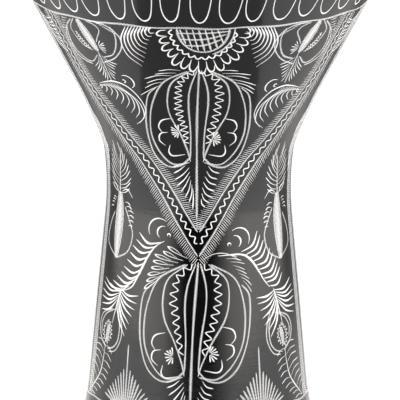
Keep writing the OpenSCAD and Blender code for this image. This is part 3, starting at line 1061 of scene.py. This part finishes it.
def socket_screw(number):
    """A knurled socket-head screw with rolled threads."""
    under_head = BOLT_TOP - BOLT_HEAD_H
    thread_r, root_r, pitch, plain = 3.0, 2.5, 1.0, 12.0
    head_r, ridges, top_bevel, key_flats, key_depth = 5.0, 36, 0.5, 5.0, 3.2
    thread = [(0, BOLT_FOOT), (root_r - 0.5, BOLT_FOOT), (root_r, BOLT_FOOT + 0.5)]
    z = BOLT_FOOT + 0.7
    while z + pitch < under_head - plain:
        thread += [(root_r, z), (thread_r, z + pitch * 0.38), (thread_r, z + pitch * 0.62)]
        z += pitch
    thread += [(root_r, z), (thread_r, z + 0.6), (thread_r, under_head + 0.3), (0, under_head + 0.3)]
    bm = turned(thread, closed=False, steps=32)
    head = bmesh.new()
    bmesh.ops.create_circle(head, cap_ends=True, segments=ridges * 2, radius=head_r)
    for index, vert in enumerate(head.verts):
        shrink = 0.955 if index % 2 else 0.995
        vert.co = vert.co * shrink
    top = bmesh.ops.extrude_face_region(head, geom=head.faces[:])["geom"]
    bmesh.ops.translate(head, vec=(0, 0, BOLT_HEAD_H),
                        verts=[v for v in top if isinstance(v, bmesh.types.BMVert)])
    roof = max(head.faces, key=lambda f: f.calc_center_median().z)
    bmesh.ops.inset_individual(head, faces=[roof], thickness=0.55, depth=0)
    for vert in head.verts:
        if vert.co.z > BOLT_HEAD_H - 0.01 and vert not in set(roof.verts):
            vert.co.z -= top_bevel
    bmesh.ops.inset_individual(head, faces=[roof], thickness=1.35, depth=0)
    for vert in roof.verts:
        angle = math.atan2(vert.co.y, vert.co.x)
        within = (angle % (math.pi / 3)) - math.pi / 6
        flat_r = key_flats / 2 / math.cos(within)
        vert.co.x, vert.co.y = flat_r * math.cos(angle), flat_r * math.sin(angle)
    bmesh.ops.inset_individual(head, faces=[roof], thickness=0.0001, depth=0)
    for vert in roof.verts:
        vert.co.z -= key_depth
    bmesh.ops.recalc_face_normals(head, faces=head.faces)
    bmesh.ops.translate(head, vec=(0, 0, under_head), verts=head.verts)
    add(bm, head)
    piece = finished(f"screw_{number + 1}", placed(bm, number), [PLATED], f"bolt_{number + 1}",
                     sharp=28)
    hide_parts(f"tuning_bolt_{number + 1}")


def washer(number):
    """A flat washer with softened edges, under a bolt's head."""
    inside, outside, soft, top = 3.2, 6.0, 0.25, SEAT_Z + WASHER_T
    outline = [(inside + soft, SEAT_Z), (outside - soft, SEAT_Z)]
    outline += corner((outside - soft, SEAT_Z + soft), soft, -90, 0, 3)
    outline += corner((outside - soft, top - soft), soft, 0, 90, 3)
    outline += [(inside + soft, top), (inside, top - soft), (inside, SEAT_Z + soft)]
    ring = placed(turned(outline, steps=SMALL_STEPS), number)
    piece = finished(f"washer_{number + 1}", ring, [PLATED], "rim")
    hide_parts(f"bolt_washer_{number + 1}")


def lug_block(number):
    """A cast lug: a tapered barrel under a flange, with the tapped hole up its middle."""
    bore_r, barrel_r, foot = 3.05, 6.5, LUG_TOP - 18
    barrel = [(bore_r, foot + 0.5), (bore_r + 0.5, foot)]
    barrel += corner((barrel_r - 1.2, foot + 1), 1.0, -90, 0, 4)
    barrel += [(barrel_r, LUG_TOP - FLANGE_T), (barrel_r, LUG_TOP), (bore_r, LUG_TOP)]
    bm = turned(barrel, steps=SMALL_STEPS)
    for side in (-1, 1):
        ear = bmesh.new()
        bmesh.ops.create_cone(ear, cap_ends=True, segments=SMALL_STEPS, radius1=4.6, radius2=5.0,
                              depth=FLANGE_T)
        bmesh.ops.translate(ear, vec=(0, side * EAR_OUT, LUG_TOP - FLANGE_T / 2), verts=ear.verts)
        add(bm, ear)
        web = bmesh.new()
        bmesh.ops.create_cube(web, size=1)
        bmesh.ops.scale(web, vec=(9.6, 5.2, FLANGE_T - 0.1), verts=web.verts)
        bmesh.ops.translate(web, vec=(0, side * 6.9, LUG_TOP - FLANGE_T / 2), verts=web.verts)
        add(bm, web)
    piece = finished(f"cast_lug_{number + 1}", placed(bm, number), [CAST], "drum_shell")
    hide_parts(f"lug_{number + 1}")


def rivets():
    """Domed heads on the deck and formed tails under the lugs."""
    head_h, dome_r, shank_r, tail_r, flange_z = 1.2, 4.4, 1.6, 2.5, LUG_TOP - FLANGE_T
    bm = bmesh.new()
    for number in range(BOLTS):
        for side in (-1, 1):
            rivet = [(0, DECK_Z + head_h)]
            rivet += corner((0, DECK_Z + head_h - dome_r), dome_r, 84, 47, 5)
            rivet += [(3.0, DECK_Z), (shank_r, DECK_Z), (shank_r, flange_z), (tail_r, flange_z),
                      (tail_r, flange_z - 0.9), (tail_r - 0.5, flange_z - 1.2), (0, flange_z - 1.2)]
            add(bm, placed(turned(rivet, closed=False, steps=24), number, (0, side * EAR_OUT, 0)))
    piece = finished("deck_rivets", bm, [ROLLED], "drum_shell")
    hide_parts("lug_rivets")


# ---- Studio ----

def stage_sheet(name, corners, finish):
    """A flat sheet of the studio, such as the floor: nearest and furthest corner, and its height."""
    (left, front), (right, back), height = corners
    bm = bmesh.new()
    around = ((left, front), (right, front), (right, back), (left, back))
    bm.faces.new([bm.verts.new((x, y, height)) for x, y in around])
    sheet = new_object(name, bm, [finish])
    return sheet


def studio_paper(name, tone):
    """Matt paper of a slightly uneven grey."""
    paper = Finish(name, Roughness=0.9)
    soft = paper.noise(3.0, 3.0)
    darker = tone * 0.96
    return paper.wear(Base_Color=paper.blend(soft, (tone, tone, tone, 1), (darker, darker, darker, 1)))


def painted_glow(name, reach, brightest, *stops):
    """Painted glow, seen in reflections: an emitting sheet that is no lamp, its brightness set from front
    to back, from minus reach to reach.
    """
    paper = Finish(name, Base_Color=(0, 0, 0, 1), Roughness=1.0, Emission_Strength=brightest)
    depth = paper.node("SeparateXYZ", {}, {0: paper.place}, out=1)
    level = paper.ramp(0.5 + depth * (0.5 / reach), *stops)
    return paper.wear(Emission_Color=paper.blend(level, (0, 0, 0, 1), (1.0, 0.975, 0.95, 1)))


def light(name, place, aim, width, height, radiance, in_reflections=True):
    """An area light of a given brightness, whatever its size."""
    lamp = bpy.data.lights.new(name, "AREA")
    lamp.shape = "RECTANGLE"
    lamp.size, lamp.size_y = width, height
    lamp.energy = radiance * math.pi * width * height
    lamp.color = (1.0, 0.985, 0.97)
    box = bpy.data.objects.new(name, lamp)
    turn = (Vector(place) - Vector(aim)).to_track_quat("Z", "Y").to_matrix().to_4x4()
    box.matrix_world = Matrix.Translation(place) @ turn
    box.visible_glossy = in_reflections
    bpy.context.collection.objects.link(box)


def reflected_only(sheet):
    """Leaves a studio sheet to be seen in reflections, and in nothing else."""
    sheet.visible_camera = False
    sheet.visible_diffuse = False
    sheet.visible_shadow = False
    sheet.visible_transmission = False


def studio():
    """White paper lit from overhead, soft boxes at the sides, and painted reflections for the lacquer: a
    glowing tent, a glowing sheet behind and a grey sheet in front, seen only in reflections.
    """
    reach, tent_r, tent_height = 30, 1.2, 1.5
    floor = ((-reach, -reach), (reach, reach), -0.0001)
    stage_sheet("floor", floor, studio_paper("pale_floor", 0.93))
    # Painted dark reflection: a grey sheet on the floor in front of the drum, seen only in reflections, so
    # the lacquer's middle mirrors grey there instead of the pale floor.
    painted_dark_card = ((-0.22, -tent_r), (0.22, 0), 0.002)
    reflected_only(stage_sheet("painted_dark_reflection", painted_dark_card, studio_paper("painted_dark_reflection", 0.36)))
    # Painted reflection of the lit floor behind the drum: a glowing sheet, seen only in reflections,
    # brightest near the drum and fading towards the back.
    behind = ((-tent_r, 0.1), (tent_r, tent_r), 0.003)
    painted_floor_glow = painted_glow("painted_floor_reflection", tent_r, 1.3, (0.54, 1.0), (0.62, 0.9), (0.74, 0.25), (1.0, 0.2))
    reflected_only(stage_sheet("painted_floor_reflection", behind, painted_floor_glow))

    # Painted reflections of bright studio walls: a glowing tent round the drum, seen only in reflections,
    # dark straight in front, brightest towards the front sides and dim behind; the soft boxes themselves
    # are kept out of reflections.
    bm = bmesh.new()
    bmesh.ops.create_cone(bm, cap_ends=False, segments=96, radius1=tent_r, radius2=tent_r,
                          depth=tent_height)
    bmesh.ops.translate(bm, vec=(0, 0, tent_height / 2 + 0.005), verts=bm.verts)
    paper = painted_glow("painted_reflection_tent", tent_r, 3.3, (0.0, 0.0), (0.018, 0.0), (0.10, 0.75), (0.25, 1.0),
                          (0.60, 0.75), (0.80, 0.16), (1.0, 0.12))
    tent = new_object("painted_reflection_tent", bm, [paper])
    tent.data.shade_smooth()
    reflected_only(tent)

    world = bpy.data.worlds.new("studio")
    bpy.context.scene.world = world
    world.use_nodes = True
    world.node_tree.nodes["Background"].inputs[0].default_value = (0.85, 0.85, 0.86, 1)
    for hand in (-1, 1):
        bearing, distance = math.radians(64), 1.15
        place = (hand * distance * math.sin(bearing), -distance * math.cos(bearing), 0.62)
        light("soft_box", place, (0, 0, 0.62), 1.0, 1.2, 2.8, False)
    light("back_light", (0, 1.4, 2.3), (0, 1.0, 0), 2.6, 2.2, 1.6)
    bpy.context.scene.view_settings.view_transform = "Standard"


def camera():
    """A long lens, a little above the drum's middle, turned by a hair."""
    elevation, distance = math.radians(13.2), 4.5
    aim = Vector((0.0009, 0, 0.200))
    away = Vector((0, -math.cos(elevation), math.sin(elevation)))
    lens = bpy.data.cameras.new("camera")
    lens.lens = 613.0
    lens.sensor_width = 36.0
    lens.clip_end = 100
    eye = bpy.data.objects.new("camera", lens)
    look = away.to_track_quat("Z", "Y").to_matrix().to_4x4()
    roll = Matrix.Rotation(math.radians(0.29), 4, "Z")
    eye.matrix_world = Matrix.Translation(aim + away * distance) @ look @ roll
    bpy.context.collection.objects.link(eye)
    bpy.context.scene.camera = eye


camera()
studio()
stem_shell()
bowl_shell()
head_skin()
hoop()
rim()
for place in range(BOLTS):
    socket_screw(place)
    washer(place)
    lug_block(place)
rivets()
ring_band()
side_strips()
decorated_side("front", 0, 1000)
decorated_side("back", 180, 3000)
